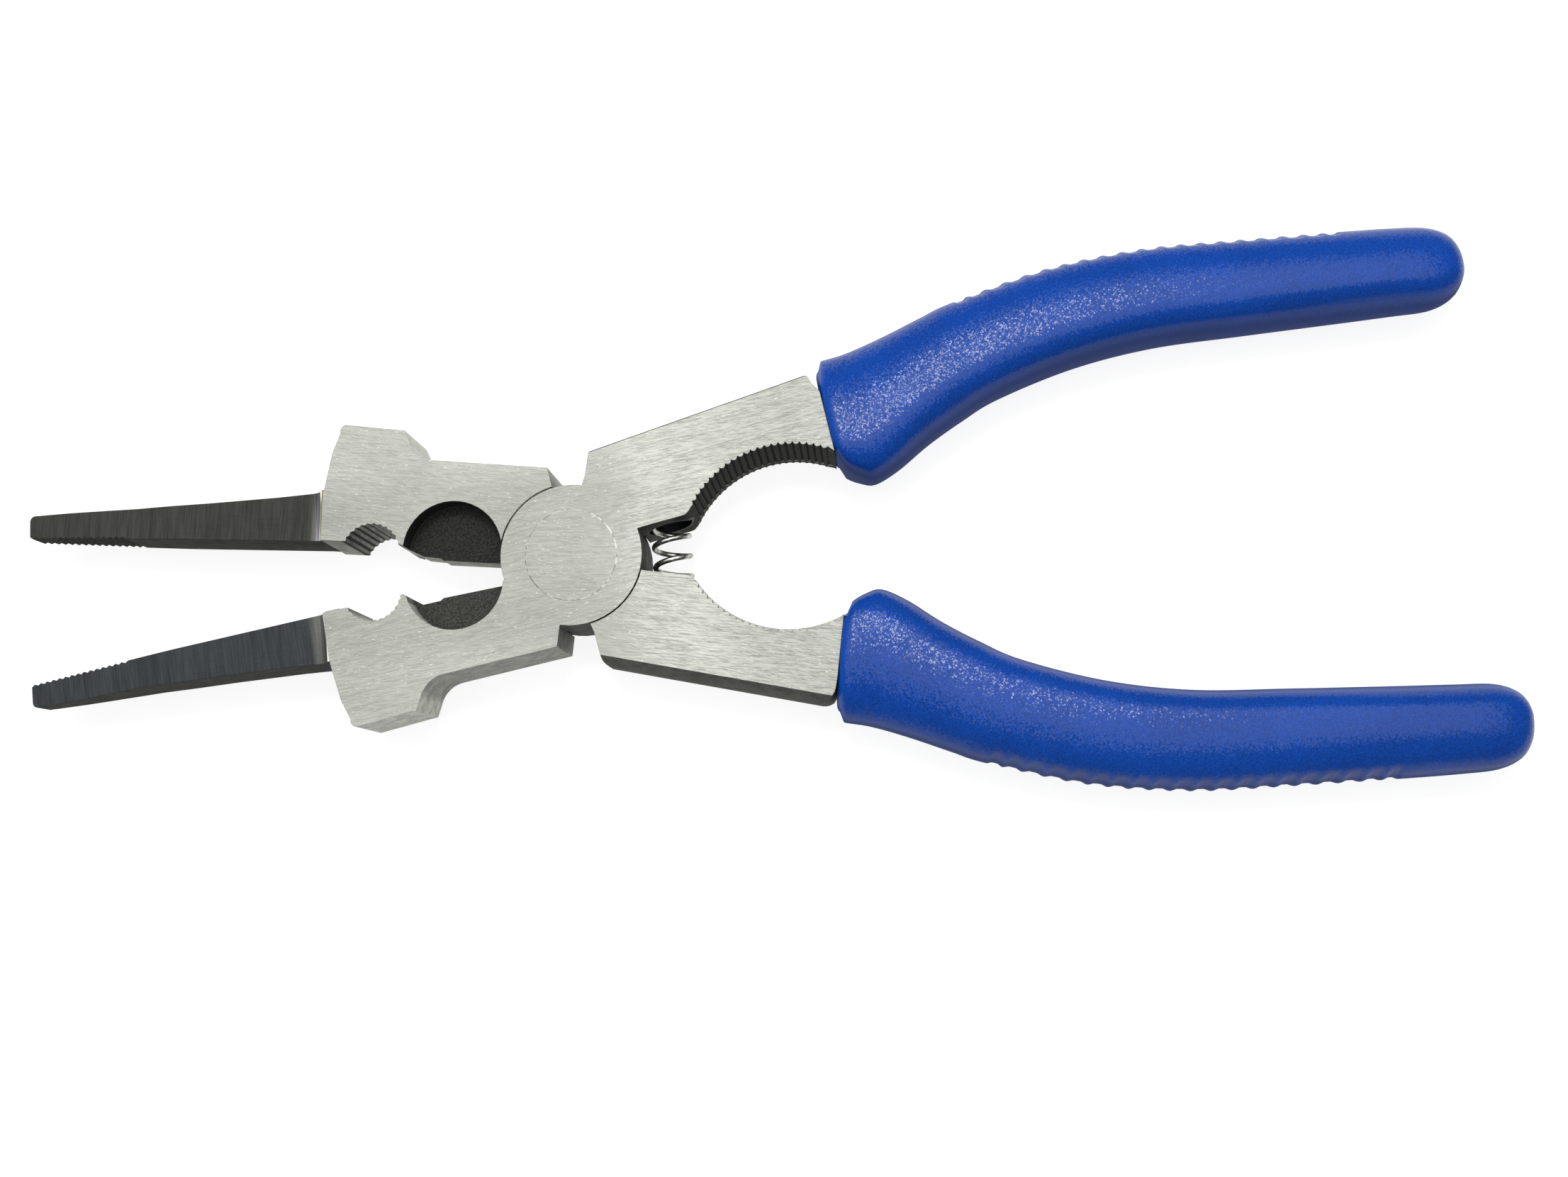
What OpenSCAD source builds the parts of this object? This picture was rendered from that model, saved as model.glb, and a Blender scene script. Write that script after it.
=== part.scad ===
// Spring-opened nozzle and wire pliers: two forged levers crossed in a half-lap joint.
// Each lever carries one jaw and the opposite handle, so the rear lever is the front lever
// turned over about X, with small differences left by trimming and setting.
// The pivot axis is the Z axis, the ground rear face is z = 0, and the jaws point to -X.
// Units are millimetres and degrees. A lever outline is drawn for the front lever: its jaw
// lies below the X axis and its handle above it.

/* [Piece] */
// Sub-part to show

/* [Levers] */
// Thickness of both levers at the joint and handles
lever_t = 11.5; // [9:0.5:14]
// Radius of the round half-lap ears
disc_r = 9.9; // [8:0.1:12]
// Gap between one lever's ear and the other lever
lap_gap = 0.2; // [0.15:0.05:0.5]
// Angle between the two noses' gripping faces, as shown
jaw_angle = 14.1; // [10:0.1:20]

/* [Jaws] */
// Distance from the pivot to the nose tips
nose_reach = 79; // [60:0.1:90]
// Nose thickness behind the taper
nose_t = 8.2; // [6:0.1:10]
// Nose thickness at the tip
tip_t = 3.5; // [2:0.1:6]
// Radius of the wire-cutter pocket on each face
pocket_r = 7; // [5:0.1:8]
// Thickness of the cutter land left between the pockets
land_t = 4; // [2:0.5:6]
// Number of teeth on each nose tip
tip_teeth = 15; // [8:1:20]

/* [Pivot] */
// Radius of the rivet's flush heads
head_r = 6.4; // [5.5:0.1:7]
// Radius of the rivet's shank
shank_r = 4.6; // [3:0.1:5]
// Radial clearance of the rivet in the rear lever
pivot_clear = 0.05; // [0.01:0.01:0.1]

/* [Spring] */
// Outside radius of the coil
coil_r = 2.9; // [2:0.1:4]
// Wire diameter
wire_d = 0.8; // [0.5:0.1:1.2]
// Number of coils
coils = 7.5; // [5:0.5:12]

/* [Grips] */
// Thickness of the grips, front to back
grip_t = 14; // [13:0.1:18]
// Height of the grip ribs
rib_h = 0.35; // [0:0.05:0.6]

/* [Hidden] */
$fn = 96;

mid = lever_t / 2;
clear_r = disc_r + lap_gap;

// ---- What differs between the two levers ----
// [nose set in degrees, grip set in degrees, how far the grip sits back, how much shorter its
// closed end is, cutter line]
// A cutter line runs from the notch's inner corner to the ear, with one small step in it.
front_set = [1.1, -1.4, 0.7, 1.4, [[-23.8, -3.5], [-22, -4.6], [-19.5, -4.25], [-19.1, -3.9], [-9.4, -2.75]]];
rear_set = [-1.1, 0, 0, 0, [[-23.8, -3.5], [-21.7, -2.3], [-19.2, -1.8], [-18.8, -1.45], [-9.8, -0.2]]];

// ---- Jaw ----
bite_slope = tan(jaw_angle / 2);
nose_root = [-41.5, -5.97];
root_x = -34.9;
root_fillet = (lever_t - nose_t) / 2;
taper_x = -57;
tip_h = 3.3;
teeth_run = 14.4;
tooth_depth = 0.3;
notch_c = [-28.15, -2.75];
notch_r = 4;
notch_teeth = 11;
notch_tooth = 0.22;
cusp = [-24.15, -3.6];
notch_mouth = [-31.85, -4.72];
pocket_c = [-16.65, -2.1];
pocket_depth = (lever_t - land_t) / 2;

// ---- Handle ----
back_start = 14.6;
back_slope = 0.263;
back_bulge = 1.15;
knurl_c = [30.6, -2.5];
knurl_r = 15.45;
knurl_from = 150.7;
knurl_to = 67.2;
knurl_teeth = 23;
knurl_depth = 0.4;
knurl_web = [0.5, 0.8];
mouth_in = [37.05, 11.45];
mouth_out = [35.45, 20.1];

// ---- Tang, hidden in the grip ----
set_at = [36, 17];
tang_heading = 27;
tang_from = [43.6, 18.3];
tang_turn_r = 76;
tang_end_turn = 25;
tang_tail = 27;
tang_w = 7.4;
tang_t = 8;
tang_fit = 0.04;

// ---- Pivot ----
head_t = 1.8;

// ---- Spring ----
spring_x = 13.5;
spring_end = 8.8;
seat_r = 3.05;
seat_end = 9;
end_coil_pitch = 0.95;
end_coils = 1.25;
coil_start = 158;
coil_steps = 24;
wire_sides = 10;

// ---- Grip stations ----
// [inner edge, outer edge, thickness share, squareness inside and outside, slices to the next]
ribs_per_span = 5;
slices_per_rib = 4;
rib_slices = ribs_per_span * slices_per_rib;
grip_stations = [
    [[36.95, 11.10], [34.75, 23.90], 0.94, 5.0, 2.2, 1],
    [[37.25, 10.70], [34.90, 24.90], 0.975, 4.5, 2.2, 1],
    [[38.40, 9.35], [35.70, 25.80], 1.00, 3.8, 2.2, 2],
    [[40.40, 8.25], [37.00, 26.15], 1.01, 3.0, 2.2, 2],
    [[42.60, 7.85], [38.90, 26.60], 1.03, 2.6, 2.2, 3],
    [[46.10, 9.75], [41.60, 27.50], 1.05, 2.5, 2.3, 3],
    [[50.45, 13.10], [45.60, 29.10], 1.06, 2.5, 2.3, 3],
    [[55.45, 16.30], [50.20, 31.10], 1.05, 2.5, 2.4, 3],
    [[60.90, 19.25], [54.80, 33.00], 1.04, 2.5, 2.4, rib_slices],
    [[71.80, 23.00], [68.20, 37.00], 1.02, 2.5, 2.4, rib_slices],
    [[83.30, 25.25], [82.00, 39.00], 1.00, 2.5, 2.4, rib_slices],
    [[96.40, 26.15], [96.00, 39.40], 0.97, 2.4, 2.3, rib_slices],
    [[110.20, 26.95], [109.90, 39.55], 0.95, 2.2, 2.2, 3],
    [[118.50, 27.40], [118.20, 39.55], 0.91, 2.2, 2.2, 2],
    [[123.60, 27.75], [123.00, 39.35], 0.84, 2.2, 2.2, 2],
    [[126.40, 28.90], [125.90, 38.30], 0.72, 2.2, 2.2, 2],
    [[127.60, 30.60], [127.40, 36.60], 0.50, 2.1, 2.1, 1],
    [[128.00, 32.30], [127.95, 35.00], 0.22, 2.1, 2.1, 0]
];
first_rib = 8;
last_rib = 12;
crown_at = 0.36;
grip_sides = 28;
cavity_steps = 9;

// ---- Small geometry helpers ----
function dir(a) = [cos(a), sin(a)];
function arc(c, r, from, to, n) = [for (i = [0 : n]) c + r * dir(from + (to - from) * i / n)];

// An arc cut into n sharp grooves with rounded ridges between them
groove_phases = [0, 0.2, 0.5, 0.8];
function grooved_arc(c, r, from, to, n, depth) =
    [for (i = [0 : n - 1], f = groove_phases)
        c + (r + depth * (1 - pow(sin(180 * f), 0.7))) * dir(from + (to - from) * (i + f) / n)];

// An arc or a line cut into n teeth of the given depth
function toothed_arc(c, r, from, to, n, depth) =
    [for (i = [0 : 2 * n]) c + (r + (i % 2 == 1 ? depth : 0)) * dir(from + (to - from) * i / (2 * n))];
function toothed_line(p, q, n, depth) =
    let (u = (q - p) / norm(q - p), v = [-u[1], u[0]])
    [for (i = [0 : 2 * n]) p + (q - p) * i / (2 * n) - (i % 2 == 1 ? 0 : depth) * v];

function turned(p, about, a) =
    let (d = p - about) about + [d[0] * cos(a) - d[1] * sin(a), d[0] * sin(a) + d[1] * cos(a)];

// Catmull-Rom blend of four neighbouring values
function blend4(a, b, c, d, t) =
    0.5 * (2 * b + (c - a) * t + (2 * a - 5 * b + 4 * c - d) * t * t + (3 * b - a - 3 * c + d) * t * t * t);

// ---- Nose ----
function nose_half_t(x) =
    x > taper_x ? nose_t / 2
    : nose_t / 2 - (nose_t - tip_t) / 2 * pow((taper_x - x) / (taper_x + nose_reach), 1.3);

bite_at = function (x) nose_root[1] - bite_slope * (nose_root[0] - x);
teeth_end_x = -nose_reach + teeth_run;

module nose_outline() {
    tip_y = bite_at(-nose_reach);
    polygon(concat(
        [[root_x + 2, bite_at(root_x + 2)], [teeth_end_x + 0.5, bite_at(teeth_end_x + 0.5)]],
        toothed_line([teeth_end_x, bite_at(teeth_end_x)], [-nose_reach, tip_y], tip_teeth, -tooth_depth),
        arc([-nose_reach + 0.9, tip_y - tip_h + 0.8], 0.8, 180, 265, 4),
        [[-72.6, -13.6], [-62.1, -12.85], [-51.6, -12.45], [-41.4, -12.2], [root_x + 2, -12.2]]
    ));
}

// Side profile: recessed below the body's faces, with a concave root and a thinning tip
module nose_side() {
    taper = [for (i = [0 : 10]) let (x = taper_x - (taper_x + nose_reach) * i / 10) [x, nose_half_t(x)]];
    root = [for (a = [0 : 15 : 90])
        [root_x - root_fillet + root_fillet * sin(a), nose_t / 2 + root_fillet * (1 - cos(a))]];
    upper = concat([[root_x + 3, mid]], [for (i = [len(root) - 1 : -1 : 0]) root[i]], taper);
    lower = [for (i = [len(upper) - 1 : -1 : 0]) [upper[i][0], -upper[i][1]]];
    polygon(concat(upper, lower));
}

module nose(nose_set) {
    translate(nose_root)
    rotate(nose_set)
    translate(-nose_root)
    intersection() {
        linear_extrude(lever_t) nose_outline();
        translate([0, 0, mid]) rotate([90, 0, 0]) linear_extrude(30) nose_side();
    }
}

// ---- Jaw body: wing, notch, cutter land and pockets ----
module jaw_outline(cutter) {
    polygon(concat(
        [[-35.3, -5.2], [-34.4, -12.5], [-33.1, -17.5]],
        arc([-30.9, -20.5], 0.95, 168, 260, 6),
        [[-22.6, -19.85]],
        arc([-18, -19.2], 4.1, 165, 95, 8),
        [[-2.65, -12.65], [-2.1, -9.65], [-4, -4]],
        [for (i = [len(cutter) - 1 : -1 : 0]) cutter[i]],
        [cusp],
        toothed_arc(notch_c, notch_r, -12, -150, notch_teeth, notch_tooth),
        [notch_mouth]
    ));
}

module jaw(cutter) {
    difference() {
        linear_extrude(lever_t) jaw_outline(cutter);
        for (z = [-1, lever_t - pocket_depth])
            translate([pocket_c[0], pocket_c[1], z]) cylinder(r = pocket_r, h = pocket_depth + 1);
    }
}

// ---- Handle ----
function grip_seat(p, set) = turned(p, set_at, set[1]) + [set[2], 0];

module handle_outline(set, knurl) {
    y0 = back_start + back_bulge;
    shoulder_x = 32.8;
    shoulder_r = 2.4;
    shoulder_y = y0 + back_slope * (shoulder_x - 4.3) - shoulder_r;
    polygon(concat(
        [[2.0, 9.5], [2.6, 11.1], [3.25, y0 - 1.5]],
        arc([4.2, y0 - 1.1], 0.95, 175, 105, 4),
        arc([shoulder_x, shoulder_y], shoulder_r, 105, 15, 6),
        [grip_seat(mouth_out, set), grip_seat(mouth_in, set)],
        knurl,
        [[16.85, 4.85], [16.3, 4.3], [15.6, 4.1], [10.2, 3.1], [6, 2], [2, 5]]
    ));
}

// The handle's back is left barrelled across its thickness. A smooth web near the lever's
// rear face closes the knurl's grooves.
module handle(set) {
    barrel_r = (mid * mid + back_bulge * back_bulge) / (2 * back_bulge);
    grooved = grooved_arc(knurl_c, knurl_r, knurl_to, knurl_from, knurl_teeth, knurl_depth);
    smooth = arc(knurl_c, knurl_r, knurl_to, knurl_from, knurl_teeth);
    intersection() {
        union() {
            linear_extrude(lever_t) handle_outline(set, grooved);
            translate([0, 0, knurl_web[0]]) linear_extrude(knurl_web[1]) handle_outline(set, smooth);
        }
        translate([4.3, back_start + back_bulge, mid])
            rotate(atan(back_slope)) translate([-20, -barrel_r, 0])
            rotate([0, 90, 0]) cylinder(r = barrel_r, h = 80);
    }
}

// Centre line of the tang: straight, then bent level with the grip's tail
function tang_centre(s) =
    let (bend = tang_turn_r * tang_end_turn * PI / 180, b0 = 14)
    s < b0 ? tang_from + s * dir(tang_heading)
    : s < b0 + bend ?
        let (turned_by = (s - b0) / bend * tang_end_turn)
        tang_from + b0 * dir(tang_heading)
            + tang_turn_r * (dir(tang_heading - 90 + 180) * -1 + dir(tang_heading - turned_by + 90))
    : tang_centre(b0 + bend - 0.001) + (s - b0 - bend) * dir(tang_heading - tang_end_turn);
tang_len = 14 + tang_turn_r * tang_end_turn * PI / 180 + tang_tail;

function tang_heading_at(s) =
    tang_heading - tang_end_turn * min(1, max(0, (s - 14) / (tang_len - tang_tail - 14)));

// Both edges of the tang at distance s, widened by w
function tang_edge(s, side, w = 0) =
    tang_centre(s) + side * (tang_w / 2 + w) * dir(tang_heading_at(s) + 90);

function tang_line(side, w, n) = [for (i = [0 : n]) tang_edge(tang_len * i / n, side, w)];

module tang_outline() {
    inner = tang_line(-1, 0, cavity_steps);
    outer = tang_line(1, 0, cavity_steps);
    polygon(concat(
        [mouth_out + [-1, 0], mouth_out],
        outer,
        [for (i = [len(inner) - 1 : -1 : 0]) inner[i]],
        [mouth_in, mouth_in + [-1, 0.6]]
    ));
}

module set_grip(set) {
    translate([set_at[0] + set[2], set_at[1]]) rotate(set[1]) translate(-set_at) children();
}

// ---- One lever, drawn as the front one ----
module lever(set, bore_clear) {
    difference() {
        union() {
            nose(set[0]);
            jaw(set[4]);
            translate([0, 0, mid]) cylinder(r = disc_r, h = mid);
            handle(set);
            set_grip(set) translate([0, 0, mid - tang_t / 2]) linear_extrude(tang_t) tang_outline();
        }
        // Room for the other lever's ear
        translate([0, 0, -1]) cylinder(r = clear_r, h = mid + 1 + lap_gap / 2);
        // Rivet seat
        translate([0, 0, -1]) cylinder(r = shank_r + bore_clear, h = lever_t + 2);
        translate([0, 0, lever_t - head_t - (bore_clear > 0 ? lap_gap / 2 : 0)])
            cylinder(r = head_r + bore_clear, h = head_t + 1);
        // Spring seat
        translate([spring_x, 0, mid]) rotate([-90, 0, 0]) cylinder(r = seat_r, h = seat_end);
    }
}

module front_lever() {
    color([0.74, 0.74, 0.72]) lever(front_set, 0);
}

module rear_lever() {
    color([0.70, 0.70, 0.68]) translate([0, 0, lever_t]) rotate([180, 0, 0]) lever(rear_set, pivot_clear);
}

module pivot_rivet() {
    color([0.60, 0.60, 0.58]) {
        cylinder(r = head_r, h = head_t);
        translate([0, 0, head_t - 0.2]) cylinder(r = shank_r, h = lever_t - 2 * head_t + 0.4);
        translate([0, 0, lever_t - head_t]) cylinder(r = head_r, h = head_t);
    }
}

// ---- Spring: closed end coils, open working coils ----
active = coils - 2 * end_coils;
active_pitch = (2 * spring_end - wire_d - 2 * end_coils * end_coil_pitch) / active;
function coil_rise(n) =
    n < end_coils ? n * end_coil_pitch
    : n < coils - end_coils ? end_coils * end_coil_pitch + (n - end_coils) * active_pitch
    : coil_rise(coils - end_coils - 0.0001) + (n - coils + end_coils) * end_coil_pitch;

module return_spring() {
    n = coils * coil_steps;
    run_r = coil_r - wire_d / 2;
    rings = [for (i = [0 : n], k = [0 : wire_sides - 1])
        let (a = coil_start + 360 * i / coil_steps, b = 360 * k / wire_sides, r = run_r + wire_d / 2 * cos(b))
        [spring_x + r * cos(a), coil_rise(i / coil_steps) - spring_end + wire_d / 2 * (1 + sin(b)),
            mid - r * sin(a)]];
    walls = [for (i = [0 : n - 1], k = [0 : wire_sides - 1])
        let (p = i * wire_sides + k, q = i * wire_sides + (k + 1) % wire_sides)
        [p, q, q + wire_sides, p + wire_sides]];
    first = [for (k = [wire_sides - 1 : -1 : 0]) k];
    last = [for (k = [0 : wire_sides - 1]) n * wire_sides + k];
    color([0.35, 0.35, 0.36]) polyhedron(rings, concat([first], walls, [last]), convexity = 10);
}

// ---- Grip: a skin over the stations, with a blind socket for the tang ----
function placed(i, cut) =
    let (s = grip_stations[min(max(0, i), len(grip_stations) - 1)], back = i > last_rib ? cut : 0)
    [s[0] - [back, 0], s[1] - [back, 0], s[2], s[3], s[4]];
function station(i, t, cut) =
    let (a = placed(i - 1, cut), b = placed(i, cut), c = placed(i + 1, cut), d = placed(i + 2, cut))
    [for (k = [0 : 4]) blend4(a[k], b[k], c[k], d[k], t)];

function rib(i, t) =
    i < first_rib || i >= last_rib ? 0 : rib_h / 2 * (cos(360 * t * ribs_per_span) - 1);

// One ring between an inner and an outer edge point: two superellipse halves, each with its
// own squareness, that meet at a crown nearer the inner edge
function ring(inner, outer, half_t, in_power, out_power, outer_drop = 0) =
    let (c = inner + crown_at * (outer - inner), w = norm(outer - inner))
    [for (k = [0 : grip_sides - 1])
        let (a = 360 * (k + 0.5) / grip_sides, ca = cos(a), sa = sin(a),
            n = ca > 0 ? out_power : in_power,
            e = pow(pow(abs(ca), n) + pow(abs(sa), n), -1 / n),
            drop = ca > 0 ? outer_drop * ca * ca : 0,
            share = ca > 0 ? 1 - crown_at : crown_at,
            p = c + (outer - inner) * (share * ca * e + drop / w))
        [p[0], p[1], mid + half_t * sa * e]];

function skin_rings(cut) = concat(
    [for (i = [0 : len(grip_stations) - 2], j = [0 : grip_stations[i][5] - 1])
        let (t = j / grip_stations[i][5], s = station(i, t, cut))
        ring(s[0], s[1], s[2] * grip_t / 2, s[3], s[4], rib(i, t))],
    [let (s = placed(len(grip_stations) - 1, cut)) ring(s[0], s[1], s[2] * grip_t / 2, s[3], s[4])]
);

// The socket's rings are rectangles met by the same rays, so the mouth is a flat rim
function box_ring(inner, outer, half_t) =
    let (c = (inner + outer) / 2, u = (outer - inner) / 2)
    [for (k = [0 : grip_sides - 1])
        let (a = 360 * (k + 0.5) / grip_sides, e = 1 / max(abs(cos(a)), abs(sin(a))), p = c + u * cos(a) * e)
        [p[0], p[1], mid + half_t * sin(a) * e]];

function socket_rings() =
    let (half = tang_t / 2 + tang_fit, step = (mouth_out - mouth_in) / norm(mouth_out - mouth_in) * tang_fit * 2)
    concat(
        [box_ring(mouth_in - step, mouth_out + step, half)],
        [for (i = [0 : cavity_steps])
            let (s = tang_len * i / cavity_steps)
            box_ring(tang_edge(s, -1, tang_fit * 2), tang_edge(s, 1, tang_fit * 2), half)],
        [let (e = tang_fit * 3 * dir(tang_heading_at(tang_len)))
            box_ring(tang_edge(tang_len, -1, tang_fit * 2) + e, tang_edge(tang_len, 1, tang_fit * 2) + e, half)]
    );

module grip(cut) {
    skin = skin_rings(cut);
    socket = socket_rings();
    ns = len(skin);
    nc = len(socket);
    base = ns * grip_sides;
    bottom = base + nc * grip_sides;
    points = concat([for (r = concat(skin, socket), p = r) p],
        [(socket[nc - 1][0] + socket[nc - 1][grip_sides / 2]) / 2]);
    skin_walls = [for (i = [0 : ns - 2], k = [0 : grip_sides - 1])
        let (p = i * grip_sides + k, q = i * grip_sides + (k + 1) % grip_sides)
        [p, p + grip_sides, q + grip_sides, q]];
    socket_walls = [for (i = [0 : nc - 2], k = [0 : grip_sides - 1])
        let (p = base + i * grip_sides + k, q = base + i * grip_sides + (k + 1) % grip_sides)
        [p, q, q + grip_sides, p + grip_sides]];
    rim = [for (k = [0 : grip_sides - 1])
        let (q = (k + 1) % grip_sides) [k, q, base + q, base + k]];
    tail = [for (k = [grip_sides - 1 : -1 : 0]) (ns - 1) * grip_sides + k];
    floor = [for (k = [0 : grip_sides - 1])
        let (p = bottom - grip_sides) [p + k, p + (k + 1) % grip_sides, bottom]];
    polyhedron(points, concat(skin_walls, socket_walls, rim, [tail], floor), convexity = 10);
}

module upper_grip() {
    color([0.12, 0.25, 0.62]) set_grip(front_set) grip(front_set[3]);
}

module lower_grip() {
    color([0.12, 0.25, 0.62])
        translate([0, 0, lever_t]) rotate([180, 0, 0]) set_grip(rear_set) grip(rear_set[3]);
}

front_lever();
rear_lever();
pivot_rivet();
return_spring();
upper_grip();
lower_grip();
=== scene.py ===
"""Looks of the spring-opened welding nozzle pliers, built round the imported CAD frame.

The two levers and the rivet are the CAD's own solids with ground, oxidised and heat-tinted
steel. The return spring and the two moulded grips are finer meshes that stand for their CAD
solids. Sizes are millimetres until mm() turns them into the frame's metres.
"""
import math

import bpy
import bmesh
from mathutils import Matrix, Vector


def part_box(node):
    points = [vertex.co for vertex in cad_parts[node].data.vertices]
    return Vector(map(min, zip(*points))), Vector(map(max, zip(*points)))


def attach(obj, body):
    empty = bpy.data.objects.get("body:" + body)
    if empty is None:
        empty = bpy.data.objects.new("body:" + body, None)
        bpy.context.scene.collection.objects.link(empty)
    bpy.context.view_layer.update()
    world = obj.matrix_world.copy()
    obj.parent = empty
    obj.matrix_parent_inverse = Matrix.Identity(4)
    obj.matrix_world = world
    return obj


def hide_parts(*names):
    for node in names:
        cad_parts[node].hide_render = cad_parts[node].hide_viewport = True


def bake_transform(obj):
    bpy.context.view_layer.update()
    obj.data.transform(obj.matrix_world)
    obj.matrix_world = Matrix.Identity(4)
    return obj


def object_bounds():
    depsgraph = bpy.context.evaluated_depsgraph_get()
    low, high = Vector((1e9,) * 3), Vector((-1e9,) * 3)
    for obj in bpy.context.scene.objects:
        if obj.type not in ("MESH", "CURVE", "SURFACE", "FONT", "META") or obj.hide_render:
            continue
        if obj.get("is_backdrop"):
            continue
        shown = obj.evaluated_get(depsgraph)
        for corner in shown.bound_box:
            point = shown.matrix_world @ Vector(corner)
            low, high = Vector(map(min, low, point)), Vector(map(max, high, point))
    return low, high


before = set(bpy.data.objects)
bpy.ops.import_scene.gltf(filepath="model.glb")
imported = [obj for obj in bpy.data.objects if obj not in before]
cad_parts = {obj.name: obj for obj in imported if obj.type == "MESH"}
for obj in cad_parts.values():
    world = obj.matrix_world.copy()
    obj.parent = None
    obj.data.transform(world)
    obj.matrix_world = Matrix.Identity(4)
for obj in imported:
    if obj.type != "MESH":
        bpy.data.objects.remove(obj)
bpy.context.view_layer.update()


def mm(value):
    """A length in millimetres, or a list of them, in metres."""
    return [v * 0.001 for v in value] if isinstance(value, (list, tuple)) else value * 0.001


# ---- Shared sizes, as in the CAD source ----
LEVER_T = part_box("front_lever")[1].z * 1000
MID = LEVER_T / 2
RIVET_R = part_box("pivot_rivet")[1].x * 1000
POCKET_CENTRE, POCKET_R = (-16.65, -2.1), 7.0
LAND_T = 4.0
KNURL_CENTRE, KNURL_R = (30.6, -2.5), 15.45
NOTCH_CENTRE, NOTCH_R = (-28.15, -2.75), 4.0
NOTCH_TOOTH = math.radians(138 / 11)
SPRING_X, SEAT_R, SEAT_END = 13.5, 3.05, 9.0

# The line where the nose meets the ground jaw face: its X on the X axis, and its lean
NOSE_LINE_X, NOSE_LINE_LEAN = -35.77, 0.1

# The direction each piece was brushed in
FRONT_BRUSH, REAR_BRUSH, RIVET_BRUSH = math.radians(8.5), math.radians(-9), math.radians(-4)


# ---- Node helpers ----
class Shader:
    """A material under construction. Sockets and plain values can be mixed freely as inputs."""

    def __init__(self, name):
        self.material = bpy.data.materials.new(name)
        self.material.use_nodes = True
        self.tree = self.material.node_tree
        self.tree.nodes.clear()
        self.position = self.node("TexCoord").outputs["Object"]

    def node(self, kind, settings=None, **inputs):
        made = self.tree.nodes.new("ShaderNode" + kind)
        for key, value in (settings or {}).items():
            setattr(made, key, value)
        for key, value in inputs.items():
            self.put(made.inputs[key.replace("_", " ")], value)
        return made

    def put(self, socket, value):
        if isinstance(value, bpy.types.NodeSocket):
            self.tree.links.new(value, socket)
        elif socket.type == "VECTOR":
            socket.default_value = value[:3]
        else:
            socket.default_value = value

    def math(self, operation, a, b=0.0):
        made = self.node("Math", {"operation": operation})
        for socket, value in zip(made.inputs, (a, b)):
            self.put(socket, value)
        return made.outputs[0]

    def add(self, a, b):
        return self.math("ADD", a, b)

    def sub(self, a, b):
        return self.math("SUBTRACT", a, b)

    def mul(self, a, b):
        return self.math("MULTIPLY", a, b)

    def most(self, a, b):
        return self.math("MAXIMUM", a, b)

    def absolute(self, a):
        return self.math("ABSOLUTE", a)

    def flip(self, a):
        return self.sub(1.0, a)

    def ramp(self, value, low, high, out_low=0.0, out_high=1.0):
        """Smooth step of value between low and high."""
        made = self.node("MapRange", {"interpolation_type": "SMOOTHSTEP", "clamp": True})
        for socket, v in zip(made.inputs, (value, low, high, out_low, out_high)):
            self.put(socket, v)
        return made.outputs[0]

    def band(self, value, centre, half, soft):
        """1 within half of centre, fading to 0 over soft."""
        return self.ramp(self.absolute(self.sub(value, centre)), half, half + soft, 1.0, 0.0)

    def mix(self, factor, a, b):
        made = self.node("Mix", {"data_type": "RGBA"})
        for index, value in ((0, factor), (6, a), (7, b)):
            self.put(made.inputs[index], value)
        return made.outputs[2]

    def vary(self, colour, amount):
        """colour made lighter or darker by a factor."""
        made = self.node("VectorMath", {"operation": "SCALE"})
        self.put(made.inputs[0], colour)
        self.put(made.inputs["Scale"], amount)
        return made.outputs[0]

    def vector_math(self, operation, a, b=None):
        made = self.node("VectorMath", {"operation": operation})
        self.put(made.inputs[0], a)
        if b is not None:
            self.put(made.inputs[1], b)
        return made.outputs[0]

    def axes(self):
        """X, Y and Z in millimetres."""
        made = self.node("SeparateXYZ", Vector=self.position)
        return [self.mul(made.outputs[i], 1000.0) for i in range(3)]

    def noise(self, size, detail=2.0, roughness=0.5):
        """Noise with features of about size millimetres."""
        settings = {"Scale": 1000.0 / size, "Detail": detail, "Roughness": roughness}
        return self.node("TexNoise", Vector=self.position, **settings).outputs["Fac"]

    def streaks(self, across, along, angle, detail=2.0, seed=0.0):
        """Noise drawn out along a direction in the XY plane, both sizes in millimetres."""
        turned = self.node("Mapping", Vector=self.position)
        turned.inputs["Rotation"].default_value = (0, 0, -angle)
        turned.inputs["Location"].default_value = (seed, seed * 0.37, seed * 0.61)
        scaled = self.node("Mapping", Vector=turned.outputs[0])
        scaled.inputs["Scale"].default_value = (1000 / along, 1000 / across, 1000 / across)
        settings = {"Scale": 1.0, "Detail": detail, "Roughness": 0.6}
        return self.node("TexNoise", Vector=scaled.outputs[0], **settings).outputs["Fac"]

    def bump(self, height, depth, normal=None):
        """Height from 0 to 1, standing for depth in millimetres."""
        made = self.node("Bump", Strength=1.0, Distance=mm(depth), Height=height)
        if normal is not None:
            self.put(made.inputs["Normal"], normal)
        return made.outputs[0]

    def finish(self, colour, metallic, roughness, normal=None, **constants):
        surface = self.node("BsdfPrincipled", Base_Color=colour, Metallic=metallic)
        self.put(surface.inputs["Roughness"], roughness)
        if normal is not None:
            self.put(surface.inputs["Normal"], normal)
        for key, value in constants.items():
            surface.inputs[key.replace("_", " ")].default_value = value
        self.node("OutputMaterial", Surface=surface.outputs[0])
        return self.material


# ---- Steel ----
# Depth of the brushing in millimetres
BRUSH_DEPTH = 0.010


def steel(value, cool=0.0):
    """A steel grey, a little short of blue unless cooled."""
    return (value * (0.985 - 0.1 * cool), value, value * (0.91 + 0.15 * cool), 1.0)


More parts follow.
